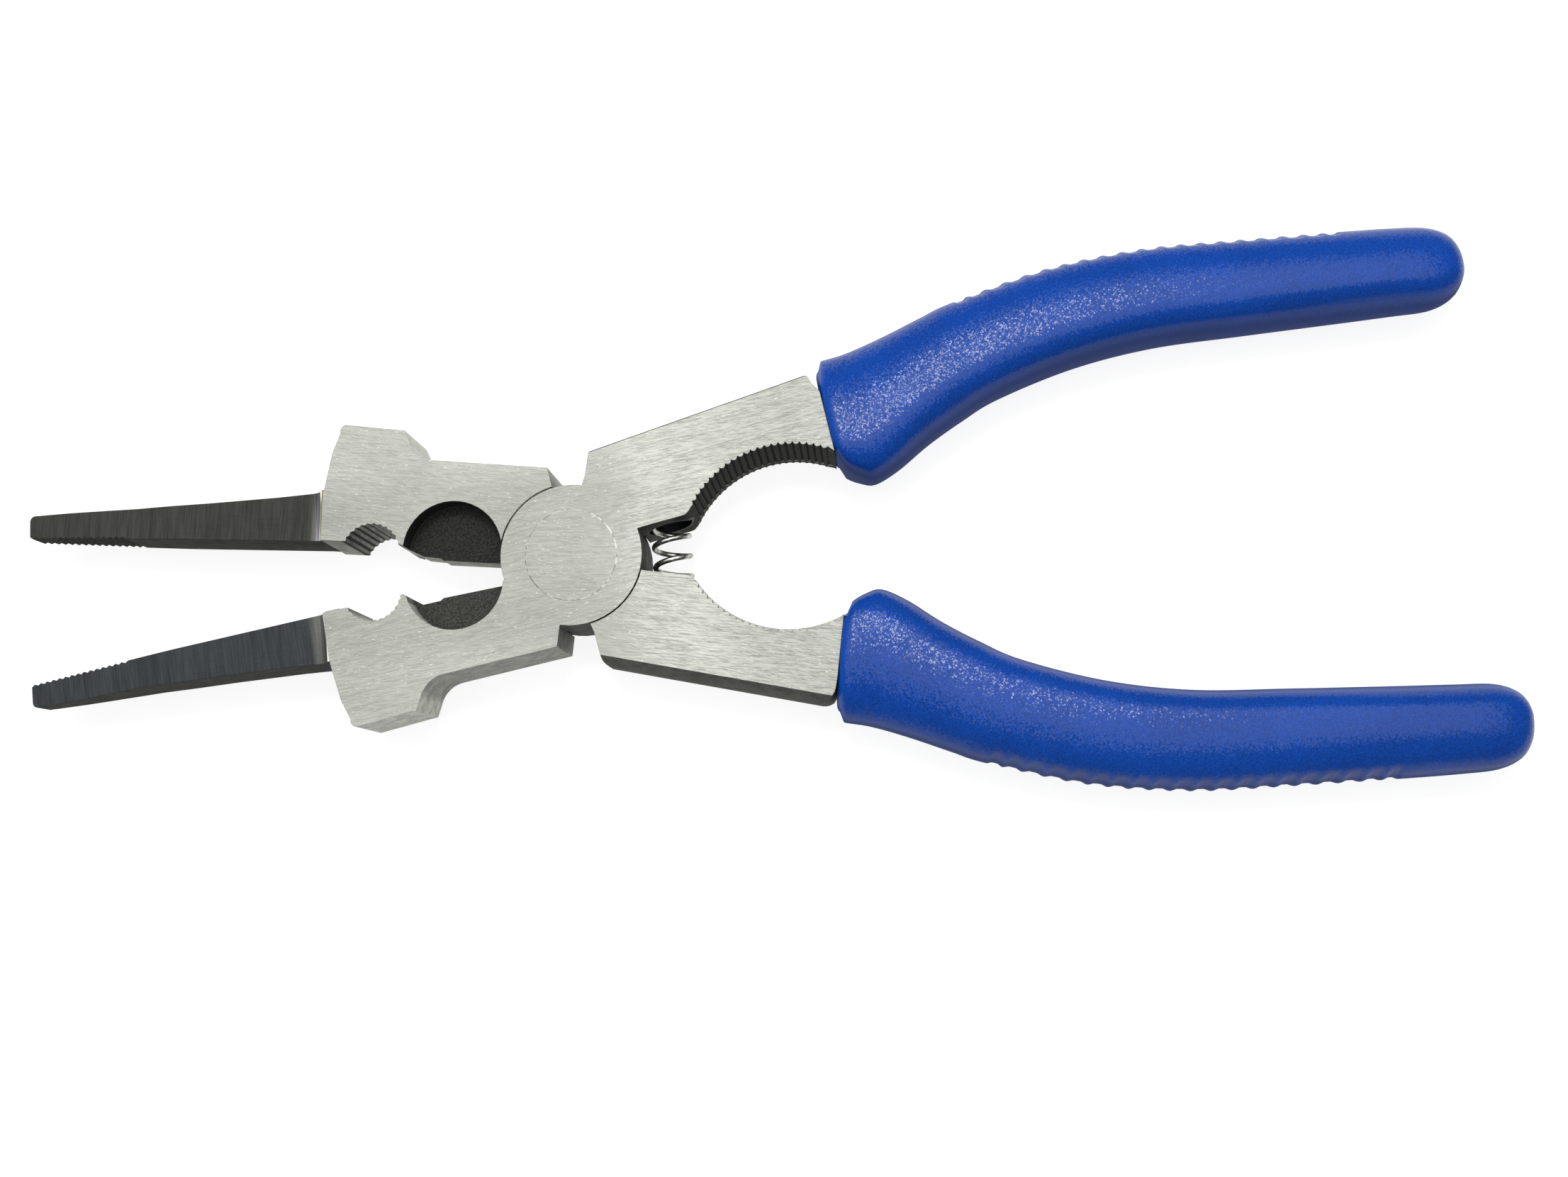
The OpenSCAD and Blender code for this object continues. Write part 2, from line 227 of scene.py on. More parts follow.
def ground_face(s, x, angle):
    """Colour, roughness and height of the brushed flat faces, coarser on the handles."""
    handle = s.ramp(x, 3.0, 13.0)
    fine = s.streaks(0.11, 1.7, angle, 3.0, 0.11)
    long = s.streaks(0.17, 5.0, angle, 2.0, 0.53)
    cross = s.streaks(0.14, 1.4, angle - math.radians(14), 2.0, 0.29)
    lines = s.add(s.mul(fine, 0.45), s.add(s.mul(long, 0.27), s.mul(cross, 0.28)))
    contrast = s.ramp(handle, 0, 1, 0.8, 1.55)
    brushed = s.mul(s.sub(s.ramp(lines, 0.38, 0.62), 0.5), s.mul(contrast, 0.58))
    tone = s.mul(s.add(1.0, brushed), s.ramp(s.noise(11.0, 2.0), 0.3, 0.7, 0.95, 1.05))
    tone = s.mul(tone, s.mul(s.ramp(handle, 0, 1, 1.0, 1.22), s.ramp(x, 14.0, 30.0, 1.0, 0.85)))
    fleck = s.ramp(s.streaks(0.14, 0.6, angle, 1.0, 0.83), 0.68, 0.76)
    colour = s.mix(s.mul(fleck, 0.65), s.vary(steel(0.228), tone), steel(0.5))
    height = s.mul(s.sub(lines, 0.5), contrast)
    return colour, s.ramp(height, -0.2, 0.2, 0.55, 0.65), height


def around(s, x, y, centre=(0.0, 0.0)):
    """Distance from a centre, in the plane of the two axes given."""
    dx, dy = s.sub(x, centre[0]), s.sub(y, centre[1])
    return s.math("SQRT", s.add(s.mul(dx, dx), s.mul(dy, dy)))


def rivet_line(s, x, y, colour):
    """The rivet's edge: a broken dark joint line with light flecks, plus painted highlight on the
    flecks to the right and a painted shade arc lower left.
    """
    radius = around(s, x, y)
    ring = s.band(radius, RIVET_R, 0.04, 0.08)
    right = s.math("DIVIDE", s.add(x, s.mul(y, 0.1)), radius)
    lower_left = s.math("DIVIDE", s.mul(s.add(s.mul(x, 0.86), s.mul(y, 0.5)), -1.0), radius)
    broken = s.noise(0.9, 2.0)
    # Painted highlight: the flecks grow brighter towards the right
    bright = s.mul(s.ramp(right, 0.3, 0.95, 0.45, 1.0), s.ramp(broken, 0.47, 0.56))
    # Painted shade: the joint line deepens to a full dark arc lower left
    dark = s.most(s.ramp(lower_left, 0.93, 0.98), s.mul(s.ramp(broken, 0.5, 0.4), 0.55))
    colour = s.mix(s.mul(s.mul(ring, dark), 0.8), colour, steel(0.09))
    return s.mix(s.mul(s.mul(ring, bright), 0.8), colour, steel(0.55))


def forged_wall_and_painted_light(s, y, facing, jaws, scale, grit, jaw_side):
    """Dark oxidised walls, ground lighter on the jaws, with painted light where jaw walls face up.
    Returns it, and a mask of those walls.
    """
    if jaw_side < 0:
        side_toward_light = facing.outputs["Y"]
    else:
        side_toward_light = s.most(facing.outputs["X"], facing.outputs["Y"])
        side_toward_light = s.mul(side_toward_light, s.ramp(y, -7.0, -5.0, 1.0, 0.0))
    # Painted light: jaw walls that face up, toward the lamps, are painted a much lighter steel
    painted_lit_wall = s.mul(s.ramp(side_toward_light, 0.15, 0.5), jaws)
    wing_end = s.ramp(y, -17.0, -18.5)
    oxide_and_painted_light = s.mix(jaws, steel(0.10), s.mix(wing_end, steel(0.30), steel(0.47)))
    oxide_and_painted_light = s.mix(painted_lit_wall, oxide_and_painted_light, steel(0.60))
    patchy = s.mul(s.sub(s.ramp(scale, 0.3, 0.7), 0.45), s.ramp(painted_lit_wall, 0, 1, 0.4, 0.14))
    oxide_and_painted_light = s.vary(oxide_and_painted_light, s.add(1.0, patchy))
    return s.vary(oxide_and_painted_light, s.ramp(grit, 0.3, 0.7, 0.88, 1.12)), painted_lit_wall


def toothed_notch(s, x, y, wall, scale, colour):
    """The jaw's toothed notch, dark, with a lighter stroke on each tooth."""
    notch = s.mul(s.band(around(s, x, y, NOTCH_CENTRE), NOTCH_R, 0.5, 0.3), wall)
    angle = s.math("ARCTAN2", s.sub(y, NOTCH_CENTRE[1]), s.sub(x, NOTCH_CENTRE[0]))
    tooth = s.math("SINE", s.mul(angle, math.tau / NOTCH_TOOTH))
    tone = s.mul(s.ramp(tooth, -0.5, 0.7, 0.35, 1.9), s.ramp(scale, 0.3, 0.7, 0.7, 1.25))
    return s.mix(notch, colour, s.vary(steel(0.14), tone))


def spring_seat(s, x, y, z, wall, colour):
    """The spring's seat, its bore painted black inside as painted shade, with a brighter rim."""
    from_coil = around(s, x, z, (SPRING_X, MID))
    inward = s.ramp(s.absolute(y), SEAT_END + 0.3, SEAT_END + 0.5, 1.0, 0.0)
    rim = s.mul(s.band(from_coil, SEAT_R + 0.2, 0.08, 0.12), s.mul(wall, s.ramp(x, 9.0, 9.5)))
    colour = s.mix(s.mul(s.mul(rim, inward), 0.7), colour, steel(0.22))
    # Painted shade: the inside of the bore is painted near black
    seat = s.mul(s.ramp(from_coil, SEAT_R + 0.02, SEAT_R + 0.06, 1.0, 0.0), inward)
    return s.mix(seat, colour, steel(0.022, 0.9))


def cutter_pocket(s, x, y, depth, wall, painted_lit_wall, scale, jaw_side, colour):
    """The cutter's pocket, sooty, with a bright ground land. Returns it and the soot's mask."""
    from_pocket = around(s, x, y, POCKET_CENTRE)
    in_pocket = s.ramp(from_pocket, POCKET_R + 0.05, POCKET_R + 0.15, 1.0, 0.0)
    sooty = s.mul(in_pocket, s.ramp(depth, MID - 0.25, MID - 0.1, 1.0, 0.0))
    if jaw_side < 0:
        sooty = s.mul(sooty, s.flip(painted_lit_wall))
    dust = s.noise(0.3, 3.0, 0.7)
    soot = s.vary(steel(0.034 if jaw_side > 0 else 0.058), s.ramp(dust, 0.3, 0.75, 0.6, 1.9))
    colour = s.mix(sooty, colour, soot)
    near_land = s.ramp(from_pocket, POCKET_R + 2.5, POCKET_R + 3.0, 1.0, 0.0)
    on_land = s.ramp(depth, LAND_T / 2, LAND_T / 2 + 0.08, 1.0, 0.0)
    ground = s.vary(steel(0.46), s.ramp(scale, 0.3, 0.7, 0.85, 1.15))
    return s.mix(s.mul(s.mul(near_land, wall), on_land), colour, ground), sooty


# Heat tints, from the nose to the jaw
LAVENDER, STRAW, BROWN = (0.24, 0.225, 0.28, 1), (0.62, 0.58, 0.45, 1), (0.14, 0.122, 0.10, 1)


def nose_steel(s, x, y, facing, scale, jaw_side):
    """Dark cross-ground steel, tinted by heat at the jaw, with painted light towards the tip and a
    painted highlight along the front nose's root. Returns it, its mask and its grinding.
    """
    line = s.sub(s.add(x, s.mul(y, NOSE_LINE_LEAN)), NOSE_LINE_X)
    nose = s.ramp(line, -0.1, 0.1, 1.0, 0.0)
    across = math.radians(90 - 6 * jaw_side)
    fine, broad = s.streaks(0.13, 5.0, across, 3.0, 0.41), s.streaks(0.9, 9.0, across, 2.0, 0.17)
    grind = s.add(s.mul(fine, 0.6), s.mul(broad, 0.4))
    # The grinding varies the tone, and painted light lightens the nose towards the tip
    tone = s.mul(s.ramp(grind, 0.3, 0.7, 0.72, 1.36), s.ramp(x, -75.0, -48.0, 1.5, 1.0))
    cool = 0.0 if jaw_side > 0 else 0.9
    dark = s.vary(steel(0.031, cool), tone)
    if jaw_side > 0:
        dark = s.mix(s.ramp(s.add(line, grind), -1.9, -0.5), dark, steel(0.12))
        dark = s.mix(s.mul(s.band(line, -0.95, 0.15, 0.3), 0.85), dark, LAVENDER)
        dark = s.mix(s.band(line, -0.48, 0.18, 0.2), dark, STRAW)
        dark = s.mix(s.mul(s.band(line, -0.1, 0.08, 0.1), 0.9), dark, BROWN)
    else:
        dark = s.mix(s.ramp(s.add(line, s.mul(grind, 1.5)), -2.4, 0.3), dark, steel(0.13))
        # Painted highlight: a light line along the nose's root
        dark = s.mix(s.band(line, -0.15, 0.2, 0.15), dark, steel(0.5))
    side = s.ramp(s.absolute(facing.outputs["Y"]), 0.35, 0.6)
    wall = s.vary(steel(0.045), s.ramp(scale, 0.3, 0.7, 0.75, 1.3))
    return s.mix(side, dark, wall), nose, grind


# Dull steel brightens little at grazing angles
EDGE_SHEEN = (0.57, 0.57, 0.57, 1.0)


def lever_steel(name, jaw_side):
    """Steel of one lever. jaw_side is -1 where the jaw lies below the X axis, 1 above it."""
    s = Shader(name)
    x, y_up, z = s.axes()
    y = s.mul(y_up, -jaw_side)
    facing = s.node("SeparateXYZ", Vector=s.node("NewGeometry").outputs["True Normal"])
    wall = s.ramp(s.absolute(facing.outputs["Z"]), 0.55, 0.8, 1.0, 0.0)
    flat = s.flip(wall)
    depth = s.absolute(s.sub(z, MID))
    jaws = s.ramp(x, -3.0, -1.5, 1.0, 0.0)
    scale = s.noise(1.6, 4.0, 0.6)
    grit = s.noise(0.25, 2.0)

    # The flat faces are ground, and lighter on the wings
    face, rough, lines = ground_face(s, x, FRONT_BRUSH if jaw_side < 0 else REAR_BRUSH)
    face = s.vary(face, s.ramp(s.mul(jaws, y), -9.0, -16.0, 1.0, 1.17))
    face = rivet_line(s, x, y_up, face)
    # The walls: dark oxide, with painted light on the jaw walls that face up
    oxide_and_painted_light, painted_lit_wall = forged_wall_and_painted_light(s, y, facing, jaws, scale, grit, jaw_side)
    colour = s.mix(wall, face, oxide_and_painted_light)

    # The knurled arcs are blacker, and so is the rear jaw's notch
    knurl = s.mul(s.band(around(s, x, y, KNURL_CENTRE), KNURL_R, 1.5, 0.8), wall)
    colour = s.mix(knurl, colour, s.vary(steel(0.040), s.ramp(grit, 0.3, 0.7, 0.8, 1.4)))
    if jaw_side > 0:
        colour = toothed_notch(s, x, y, wall, scale, colour)

    colour = spring_seat(s, x, y, z, wall, colour)
    colour, sooty = cutter_pocket(s, x, y, depth, wall, painted_lit_wall, scale, jaw_side, colour)
    dark, nose, grind = nose_steel(s, x, y, facing, scale, jaw_side)
    colour = s.mix(nose, colour, dark)

    rough = s.most(s.add(rough, s.mul(wall, 0.08)), s.mul(sooty, 0.85))
    bevel = s.node("Bevel", {"samples": 4}, Radius=mm(0.10)).outputs[0]
    height = s.add(s.mul(s.mul(lines, flat), s.flip(nose)), s.mul(s.mul(grind, nose), flat))
    normal = s.bump(height, BRUSH_DEPTH, bevel)
    normal = s.bump(s.mul(scale, wall), 0.05, normal)
    return s.finish(colour, 1.0, rough, normal, Specular_Tint=EDGE_SHEEN)


def rivet_steel():
    s = Shader("rivet_steel")
    x, y, _ = s.axes()
    face, rough, lines = ground_face(s, x, RIVET_BRUSH)
    return s.finish(rivet_line(s, x, y, face), 1.0, rough, s.bump(lines, BRUSH_DEPTH))


def spring_steel():
    s = Shader("spring_steel")
    mottle = s.noise(0.9, 3.0)
    drawn = s.noise(0.2, 2.0)
    colour = s.mix(s.ramp(mottle, 0.35, 0.65), steel(0.24), steel(0.60))
    return s.finish(colour, 1.0, s.ramp(drawn, 0.3, 0.7, 0.22, 0.38), s.bump(drawn, 0.01))


# ---- Grips ----
def grip_plastic():
    """Moulded plastic with a pebbled grain, and a smooth lip at the mouth. Painted shade darkens
    the pebbles' hollows and the steep flanks.
    """
    s = Shader("grip_plastic")
    grained = s.node("Attribute", {"attribute_name": "grain"}).outputs["Fac"]
    pebbles = s.node("TexVoronoi", {"feature": "F1"}, Vector=s.position, Scale=1000 / 0.19)
    crumble = s.noise(0.16, 1.0, 0.5)
    skin = s.node("NewGeometry").outputs["Normal"]
    upright = s.absolute(s.node("SeparateXYZ", Vector=skin).outputs["Z"])
    cloud = s.ramp(s.noise(9.0, 2.0), 0.3, 0.7, 0.94, 1.06)
    tone = s.mul(cloud, s.ramp(crumble, 0.25, 0.75, 0.94, 1.05))
    # Painted light and shade on the grain: pebble tops a little lighter, hollows darker
    painted_pebble_shade = s.mul(s.ramp(pebbles.outputs["Distance"], 0.25, 0.65), grained)
    colour = s.vary((0.0034, 0.042, 0.255, 1), s.mul(tone, s.ramp(painted_pebble_shade, 0, 1, 1.08, 0.72)))
    # Painted shade: the steep flanks are darker
    colour = s.vary(colour, s.ramp(upright, 0.05, 0.55, 0.72, 1.0))
    rough = s.ramp(upright, 0.1, 0.6, 0.75, 0.2)

    # Each pebble leans its own way, so the grain glints. It fades down the sides and the tail.
    tail = s.ramp(s.axes()[0], 55.0, 115.0, 1.0, 0.55)
    steep = s.mul(s.mul(grained, tail), s.ramp(upright, 0.35, 0.8))
    lean = s.vector_math("SUBTRACT", pebbles.outputs["Color"], (0.5, 0.5, 0.5))
    leaning = s.vector_math("ADD", skin, s.vary(lean, s.mul(steep, 0.29)))
    normal = s.bump(s.mul(crumble, steep), 0.008, s.vector_math("NORMALIZE", leaning))
    return s.finish(colour, 0.0, rough, normal, Specular_IOR_Level=0.2)


GRIP_T = 14.0
# The point a grip is turned about when it is set on its lever
SET_AT = (36.0, 17.0)
# Inner edge, outer edge, thickness share, squareness inside and outside, rings to the next
GRIP_STATIONS = [
    ((37.05, 10.90), (34.80, 24.30), 0.955, 4.6, 2.2, 1),
    ((37.25, 10.70), (34.90, 24.90), 0.975, 4.5, 2.2, 1),
    ((38.40, 9.35), (35.70, 25.80), 1.00, 3.8, 2.2, 3),
    ((40.40, 8.25), (37.00, 26.15), 1.01, 3.0, 2.2, 4),
    ((42.60, 7.85), (38.90, 26.60), 1.03, 2.6, 2.2, 5),
    ((46.10, 9.75), (41.60, 27.50), 1.05, 2.5, 2.3, 6),
    ((50.45, 13.10), (45.60, 29.10), 1.06, 2.5, 2.3, 7),
    ((55.45, 16.30), (50.20, 31.10), 1.05, 2.5, 2.4, 7),
    ((60.90, 19.25), (54.80, 33.00), 1.04, 2.5, 2.4, 60),
    ((71.80, 23.00), (68.20, 37.00), 1.02, 2.5, 2.4, 60),
    ((83.30, 25.25), (82.00, 39.00), 1.00, 2.5, 2.4, 60),
    ((96.40, 26.15), (96.00, 39.40), 0.97, 2.4, 2.3, 60),
    ((110.20, 26.95), (109.90, 39.55), 0.95, 2.2, 2.2, 8),
    ((118.50, 27.40), (118.20, 39.55), 0.91, 2.2, 2.2, 6),
    ((123.60, 27.75), (123.00, 39.35), 0.84, 2.2, 2.2, 5),
    ((126.40, 28.90), (125.90, 38.30), 0.72, 2.2, 2.2, 4),
    ((127.60, 30.60), (127.40, 36.60), 0.50, 2.1, 2.1, 3),
    ((128.00, 32.30), (127.95, 35.00), 0.22, 2.1, 2.1, 1),
]
# The ribs lie between these two stations
FIRST_RIB, LAST_RIB = 8, 12
RIBS_PER_SPAN, RIB_DIP = 5, 0.30
GRIP_SIDES, SOCKET_STEPS = 96, 14
# The lever's tang inside the sleeve: straight lead, bend, straight tail
TANG_W, TANG_T, TANG_FIT = 7.4, 8.0, 0.04
TANG_FROM, TANG_HEADING = Vector((43.6, 18.3)), math.radians(27)
TANG_LEAD, TANG_TURN_R, TANG_TURN, TANG_TAIL = 14.0, 76.0, math.radians(25), 27.0
MOUTH_IN, MOUTH_OUT = Vector((37.05, 11.45)), Vector((35.45, 20.1))
# The lip's radius, how far it rounds back and tilts, its rings, and the grain on the first few
LIP = 1.2
LIP_BACK, LIP_TILT = 0.55 * LIP, 0.2
LIP_STEPS, LIP_GRAINED, LIP_GRAIN = 6, 4, 0.7
RIM_EDGE = 0.15
# Past the mouth, where the skin's rings start, and where its grain starts and is full
SKIN_FROM, GRAIN_FROM, GRAIN_FULL = 1.2 * LIP_BACK, 1.5, 2.0
# How far the skin lies inside the CAD grip, and the share of the width inward of the crown
SKIN_BACK, CROWN_AT = 0.03, 0.36


def smooth(value, low, high):
    """Smooth step from 0 at low to 1 at high."""
    t = min(1.0, max(0.0, (value - low) / (high - low)))
    return t * t * (3 - 2 * t)


def catmull(a, b, c, d, t):
    """A smooth curve from b to c that looks ahead to d and back to a."""
    return 0.5 * (2 * b + (c - a) * t + (2 * a - 5 * b + 4 * c - d) * t * t
                  + (3 * b - a - 3 * c + d) * t ** 3)


def station(i, t, cut):
    """Edges, thickness share and squarenesses at t between stations i and i + 1."""
    rows = []
    for k in range(i - 1, i + 3):
        j = min(max(0, k), len(GRIP_STATIONS) - 1)
        inner, outer, share, inside, outside, _ = GRIP_STATIONS[j]
        back = cut if j > LAST_RIB else 0.0
        rows.append((inner[0] - back, inner[1], outer[0] - back, outer[1], share, inside, outside))
    v = [catmull(*(row[n] for row in rows), t) for n in range(7)]
    return Vector(v[0:2]), Vector(v[2:4]), v[4], v[5], v[6]


def groove(i, t):
    """How deep the rib groove is here, from 0 on a rib to 1 in a groove."""
    if not FIRST_RIB <= i < LAST_RIB:
        return 0.0
    phase = (t * RIBS_PER_SPAN) % 1.0
    return smooth(abs(phase - 0.5), 0.5, 0.14)


def rays():
    """Cosine and sine of the ray to each point of a ring."""
    angles = [math.tau * (k + 0.5) / GRIP_SIDES for k in range(GRIP_SIDES)]
    return [(math.cos(a), math.sin(a)) for a in angles]


def skin_ring(section, inset, dip):
    """One ring of the grip's skin, pulled in by inset, with a rib groove of the given dip."""
    inner, outer, share, inside, outside = section
    width, half_t = (outer - inner).length, share * GRIP_T / 2 - inset - SKIN_BACK
    u = (outer - inner) / width
    crown = inner + u * width * CROWN_AT
    points = []
    for ca, sa in rays():
        power = outside if ca > 0 else inside
        half_w = width * (1 - CROWN_AT if ca > 0 else CROWN_AT) - inset - SKIN_BACK
        reach = (abs(ca) ** power + abs(sa) ** power) ** (-1 / power)
        drop = RIB_DIP * dip * smooth(ca, 0.76, 0.92)
        across = crown + u * (ca * reach * half_w - drop)
        points.append((across.x, across.y, MID + half_t * sa * reach))
    return points


def box_ring(inner, outer, half_t):
    """A rectangle met by the same rays as the skin's rings."""
    centre, u = (inner + outer) / 2, (outer - inner) / 2
    points = []
    for ca, sa in rays():
        reach = 1 / max(abs(ca), abs(sa))
        across = centre + u * ca * reach
        points.append((across.x, across.y, MID + half_t * sa * reach))
    return points


def heading(angle):
    """The unit vector at an angle from the X axis."""
    return Vector((math.cos(angle), math.sin(angle)))


def tang_edges(s):
    """Both edges of the tang, s millimetres along it: straight, bent, straight."""
    bend = TANG_TURN_R * TANG_TURN
    turned = TANG_TURN * min(1.0, max(0.0, (s - TANG_LEAD) / bend))
    side = heading(TANG_HEADING - turned + math.pi / 2)
    at = TANG_FROM + heading(TANG_HEADING) * min(s, TANG_LEAD)
    at += TANG_TURN_R * (side - heading(TANG_HEADING + math.pi / 2))
    at += heading(TANG_HEADING - TANG_TURN) * max(0.0, s - TANG_LEAD - bend)
    half_w = side * (TANG_W / 2 + 2 * TANG_FIT)
    return at - half_w, at + half_w


def grip_rings(cut):
    """(points, grain) of every ring: socket floor, socket, rim, lip, skin and closed end."""
    length = TANG_LEAD + TANG_TURN_R * TANG_TURN + TANG_TAIL
    half = TANG_T / 2 + TANG_FIT
    rings = []
    for i in range(SOCKET_STEPS, -1, -1):
        far = 3 * TANG_FIT if i == SOCKET_STEPS else 0.0
        rings.append((box_ring(*tang_edges(length * i / SOCKET_STEPS + far), half), 0.0))
    step = (MOUTH_OUT - MOUTH_IN).normalized() * TANG_FIT * 2
    rings.append((box_ring(MOUTH_IN - step, MOUTH_OUT + step, half), 0.0))
    rings.append((box_ring(MOUTH_IN - 2 * step, MOUTH_OUT + 2 * step, half + step.length), 0.0))
    first = station(0, 0.0, cut)
    rings.append((skin_ring(first, LIP + RIM_EDGE, 0.0), 0.0))
    for i in range(LIP_STEPS):
        a = math.pi / 2 * i / LIP_STEPS
        inset = LIP * (1 - math.sin(a))
        back = LIP_BACK * (1 - math.cos(a))
        ahead = Vector((back, back * LIP_TILT))
        section = (first[0] + ahead, first[1] + ahead, *first[2:])
        rings.append((skin_ring(section, inset, 0.0), LIP_GRAIN if i < LIP_GRAINED else 0.0))
    walked, last = 0.0, first[0]
    for i, (*_, steps) in enumerate(GRIP_STATIONS[:-1]):
        for j in range(steps):
            t = j / steps
            section = station(i, t, cut)
            walked += (section[0] - last).length
            last = section[0]
            if walked > SKIN_FROM:
                grain = smooth(walked, GRAIN_FROM, GRAIN_FULL)
                rings.append((skin_ring(section, 0.0, groove(i, t)), grain))
    rings.append((skin_ring(station(len(GRIP_STATIONS) - 1, 0.0, cut), 0.0, 0.0), 1.0))
    return rings


def place_grip(point, turn, setback, flipped):
    """A grip point, set on its lever and turned over for the rear one, in metres."""
    x, y, z = point
    c, n = math.cos(turn), math.sin(turn)
    dx, dy = x - SET_AT[0], y - SET_AT[1]
    x, y = SET_AT[0] + setback + dx * c - dy * n, SET_AT[1] + dx * n + dy * c
    return mm((x, -y, LEVER_T - z)) if flipped else mm((x, y, z))


def mesh_object(name, verts, faces, material):
    """A smooth-shaded object from vertices and faces, with its normals turned outward."""
    mesh = bpy.data.meshes.new(name)
    mesh.from_pydata(verts, [], faces)
    work = bmesh.new()
    work.from_mesh(mesh)
    bmesh.ops.recalc_face_normals(work, faces=work.faces)
    work.to_mesh(mesh)
    work.free()
    mesh.polygons.foreach_set("use_smooth", [True] * len(mesh.polygons))
    mesh.materials.append(material)
    made = bpy.data.objects.new(name, mesh)
    bpy.context.scene.collection.objects.link(made)
    return made


def ring_walls(rings, sides):
    """Quads between neighbouring rings of the same number of sides."""
    faces = []
    for here in range(0, (rings - 1) * sides, sides):
        there = here + sides
        for k in range(sides):
            n = (k + 1) % sides
            faces.append((here + k, there + k, there + n, here + n))
    return faces


def make_grip(name, node, body, material, turn, setback, cut, flipped):
    """One grip, turned by degrees and set back on its lever, and cut shorter at its closed end."""
    rings = grip_rings(cut)
    verts = [place_grip(p, math.radians(turn), setback, flipped) for ring, _ in rings for p in ring]
    faces = ring_walls(len(rings), GRIP_SIDES)
    for start in (0, (len(rings) - 1) * GRIP_SIDES):
        ring = [Vector(v) for v in verts[start:start + GRIP_SIDES]]
        verts.append(tuple(sum(ring, Vector((0, 0, 0))) / GRIP_SIDES))
        tip = len(verts) - 1
        faces += [(start + k, start + (k + 1) % GRIP_SIDES, tip) for k in range(GRIP_SIDES)]
    grip = mesh_object(name, verts, faces, material)
    grain = [g for _, g in rings for _ in range(GRIP_SIDES)] + [0.0, 1.0]
    grip.data.attributes.new("grain", "FLOAT", "POINT").data.foreach_set("value", grain)
    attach(grip, body)
    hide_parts(node)


# ---- Spring ----
SPRING_END = 8.8
COIL_R, WIRE_D, COILS = 2.9, 0.8, 7.5
END_PITCH, END_COILS = 0.95, 1.25
COIL_START = math.radians(158)
COIL_STEPS, WIRE_SIDES = 40, 16


def coil_rise(n):
    """Height of the wire after n coils: closed end coils, open working coils."""
    working = COILS - 2 * END_COILS
    pitch = (2 * SPRING_END - WIRE_D - 2 * END_COILS * END_PITCH) / working
    low = min(n, END_COILS)
    middle = min(max(0.0, n - END_COILS), working)
    high = max(0.0, n - END_COILS - working)
    return (low + high) * END_PITCH + middle * pitch


def make_spring(material):
    run_r = COIL_R - WIRE_D / 2
    turns = round(COILS * COIL_STEPS)
    verts = []
    for i in range(turns + 1):
        a = COIL_START + math.tau * i / COIL_STEPS
        for k in range(WIRE_SIDES):
            b = math.tau * k / WIRE_SIDES
            r = run_r + WIRE_D / 2 * math.cos(b)
            rise = coil_rise(i / COIL_STEPS) + WIRE_D / 2 * (1 + math.sin(b))
            verts.append(mm((SPRING_X + r * math.cos(a), rise - SPRING_END, MID - r * math.sin(a))))
    faces = ring_walls(turns + 1, WIRE_SIDES)
    faces.append(tuple(range(WIRE_SIDES)))
    faces.append(tuple(turns * WIRE_SIDES + k for k in range(WIRE_SIDES)))
    spring = mesh_object("spring_coil", verts, faces, material)
    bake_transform(spring)
    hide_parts("return_spring")


def paint(node, material):
    """Gives a CAD node one material in place of its packed one."""
    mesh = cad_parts[node].data
    mesh.materials.clear()
    mesh.materials.append(material)


# ---- Stage ----
FLOOR_HALF = 2.0


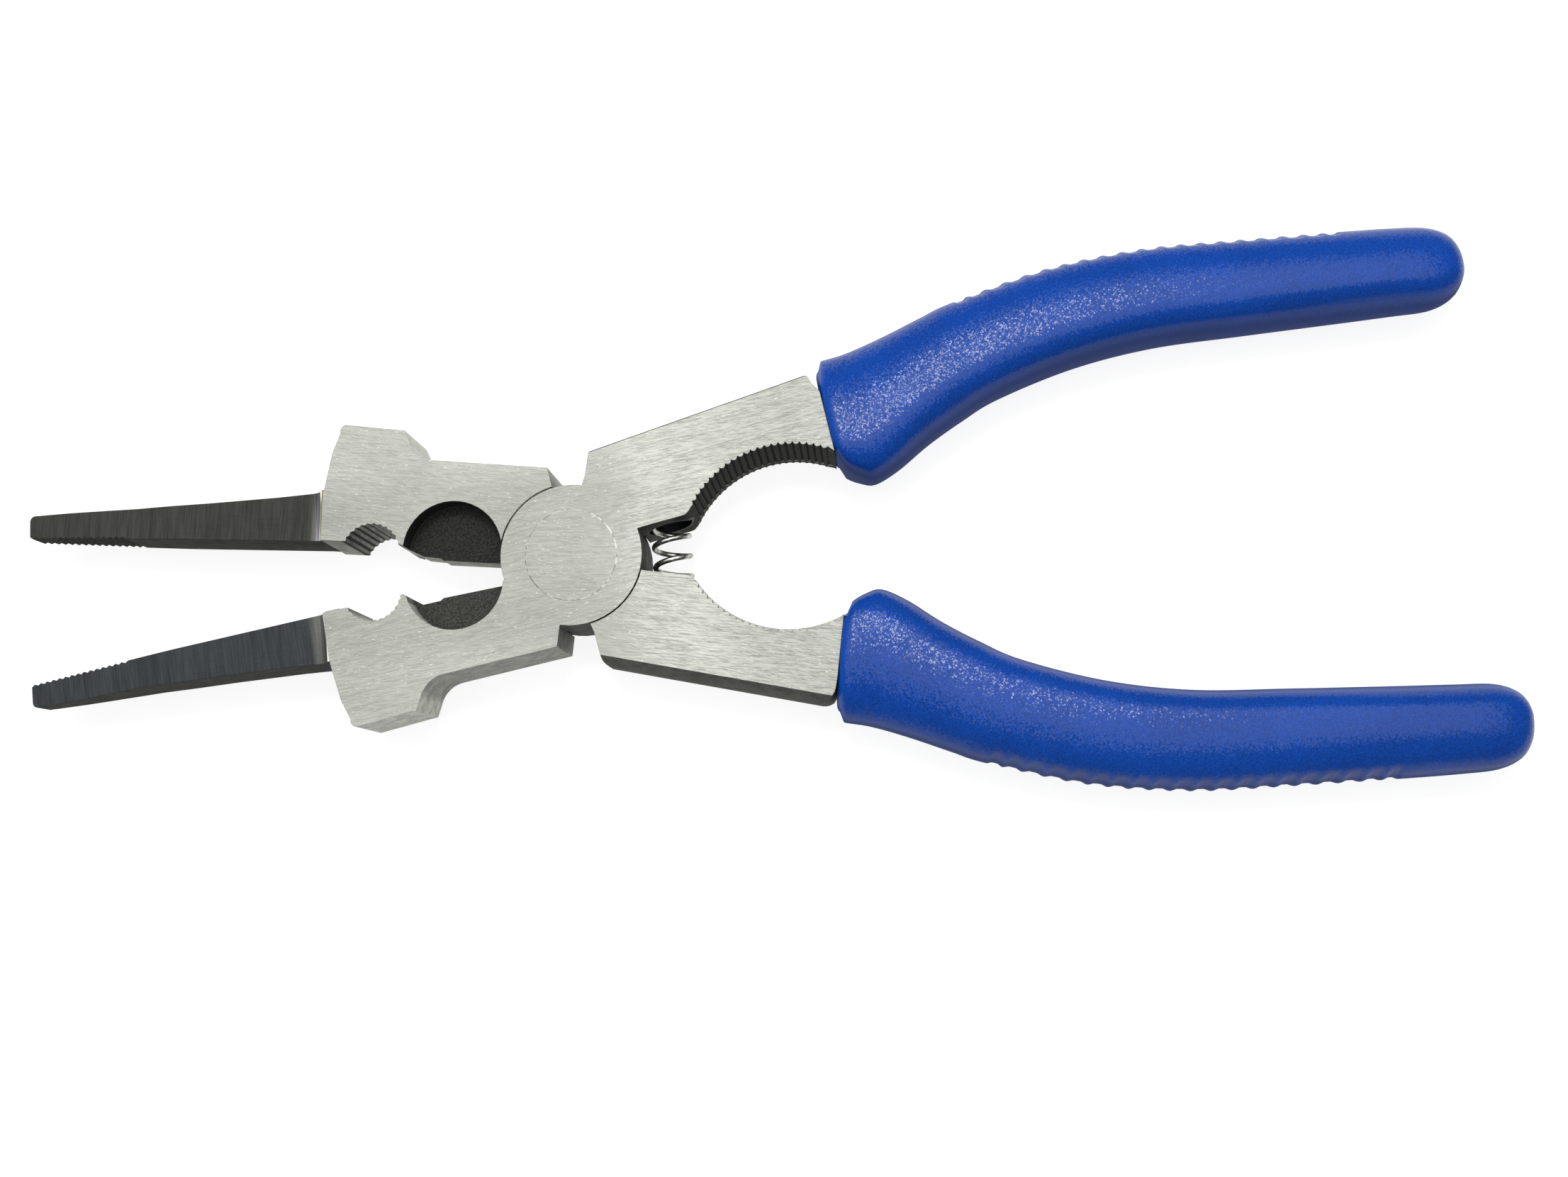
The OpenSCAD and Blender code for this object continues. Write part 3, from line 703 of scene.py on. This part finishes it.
def make_floor(height):
    s = Shader("studio_floor")
    soft = s.noise(60.0, 2.0)
    fine = s.noise(0.8, 2.0)
    colour = s.vary((0.15, 0.15, 0.15, 1), s.ramp(soft, 0.3, 0.7, 0.99, 1.01))
    glow = {"Emission_Color": (1, 1, 1, 1), "Emission_Strength": 0.86}
    material = s.finish(colour, 0.0, 0.75, s.bump(fine, 0.01), Specular_IOR_Level=0.2, **glow)
    signs = ((-1, -1), (1, -1), (1, 1), (-1, 1))
    corners = [(a * FLOOR_HALF, b * FLOOR_HALF, height) for a, b in signs]
    floor = mesh_object("floor", corners, [(0, 1, 2, 3)], material)
    floor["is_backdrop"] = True


def softbox(name, at, aim, width, depth, power):
    light = bpy.data.lights.new(name, "AREA")
    light.shape = "RECTANGLE"
    light.size, light.size_y = width, depth
    light.energy = power
    made = bpy.data.objects.new(name, light)
    made.location = at
    made.rotation_mode = "QUATERNION"
    made.rotation_quaternion = (Vector(aim) - Vector(at)).to_track_quat("-Z", "Y")
    bpy.context.scene.collection.objects.link(made)


def make_camera():
    data = bpy.data.cameras.new("camera")
    data.sensor_width = 36.0
    data.lens = 38.485
    data.clip_start, data.clip_end = 0.01, 10.0
    camera = bpy.data.objects.new("camera", data)
    camera.location = mm((40.0, -44.3, 238.25))
    camera.rotation_mode = "ZXY"
    camera.rotation_euler = [math.radians(a) for a in (9.26, 2.74, -4.44)]
    bpy.context.scene.collection.objects.link(camera)
    bpy.context.scene.camera = camera


def make_world(strength):
    world = bpy.data.worlds.new("studio")
    world.use_nodes = True
    back = world.node_tree.nodes["Background"]
    back.inputs["Color"].default_value = (1, 1, 1, 1)
    back.inputs["Strength"].default_value = strength
    bpy.context.scene.world = world


make_camera()
paint("front_lever", lever_steel("front_lever_steel", -1))
paint("rear_lever", lever_steel("rear_lever_steel", 1))
paint("pivot_rivet", rivet_steel())
make_spring(spring_steel())
plastic = grip_plastic()
make_grip("upper_sleeve", "upper_grip", "front", plastic,
          turn=-1.4, setback=0.7, cut=1.4, flipped=False)
make_grip("lower_sleeve", "lower_grip", "rear", plastic,
          turn=0.0, setback=0.0, cut=0.0, flipped=True)
make_floor(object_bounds()[0].z)
make_world(0.2)
softbox("ceiling", at=(-0.03, 0.12, 0.56), aim=(-0.03, 0.12, 0.0),
        width=1.1, depth=0.8, power=6.15)
softbox("key", at=(0.03, 0.185, 0.54), aim=(0.03, 0.0, 0.0),
        width=0.14, depth=0.12, power=1.9)
bpy.context.scene.view_settings.view_transform = "Standard"
